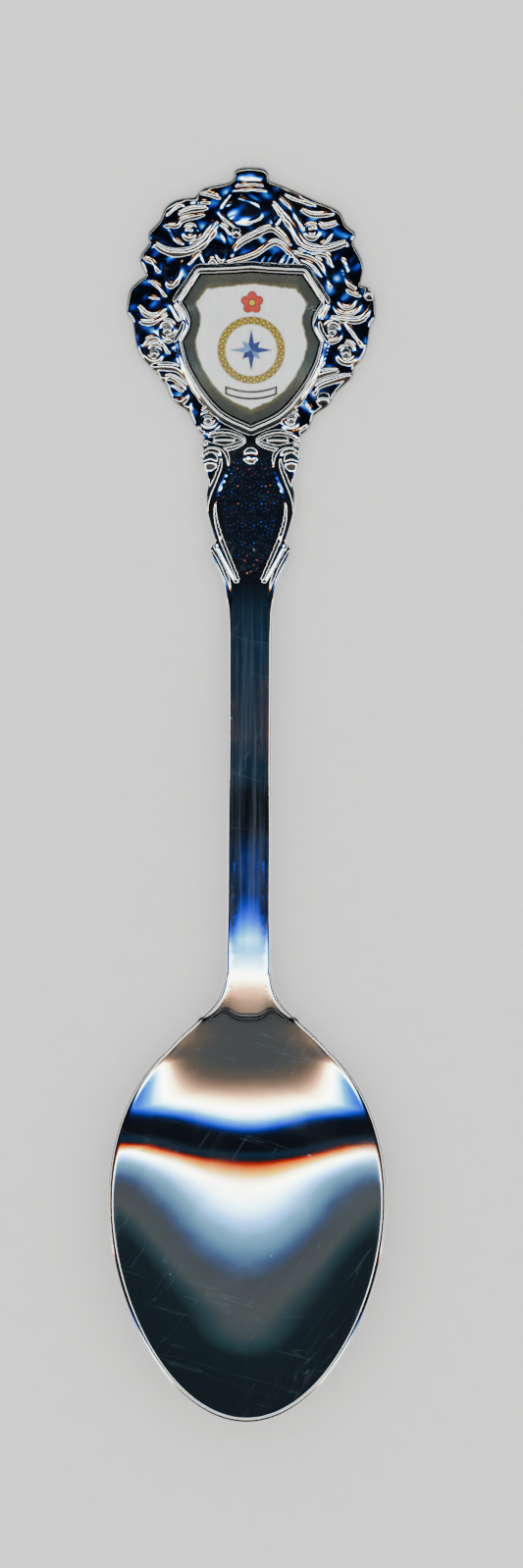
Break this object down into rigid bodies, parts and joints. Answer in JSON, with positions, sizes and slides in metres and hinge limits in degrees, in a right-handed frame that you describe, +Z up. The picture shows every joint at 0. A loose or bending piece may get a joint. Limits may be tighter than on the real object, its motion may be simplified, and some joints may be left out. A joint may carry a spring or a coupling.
{
  "type": "souvenir spoon",
  "caption": "Small collector's spoon of plated metal: egg-shaped bowl, plain stem, scrolled shield-shaped head with a domed badge set in its pocket.",
  "frame": {"origin": "on the table, under the middle of the spoon's bounding box", "axes": "+Z up out of the face of the spoon, +Y along the spoon from the bowl to the head, +X to the right when the head points away"},
  "size_m": [0.0242, 0.1084, 0.0057],
  "materials": {
    "spoon_metal": "bright silver-coloured plate, mirror polished, with fine handling scratches",
    "adhesive": "dull dark grey adhesive with a brownish edge",
    "white_plate": "white print on thin metal with a faint brushed grain",
    "yellow_ink": "golden yellow enamel ink",
    "blue_ink": "dark blue enamel ink",
    "red_ink": "red enamel ink",
    "black_ink": "black outline ink",
    "clear_resin": "clear glossy casting resin"
  },
  "bodies": {
    "root": {"spoon_body": "spoon_metal", "badge_adhesive": "adhesive", "badge_plate": "white_plate", "badge_ring": "yellow_ink", "badge_compass": "blue_ink", "badge_rosette": "red_ink", "badge_ribbon": "black_ink", "badge_dome": "clear_resin"}
  },
  "joints": []
}
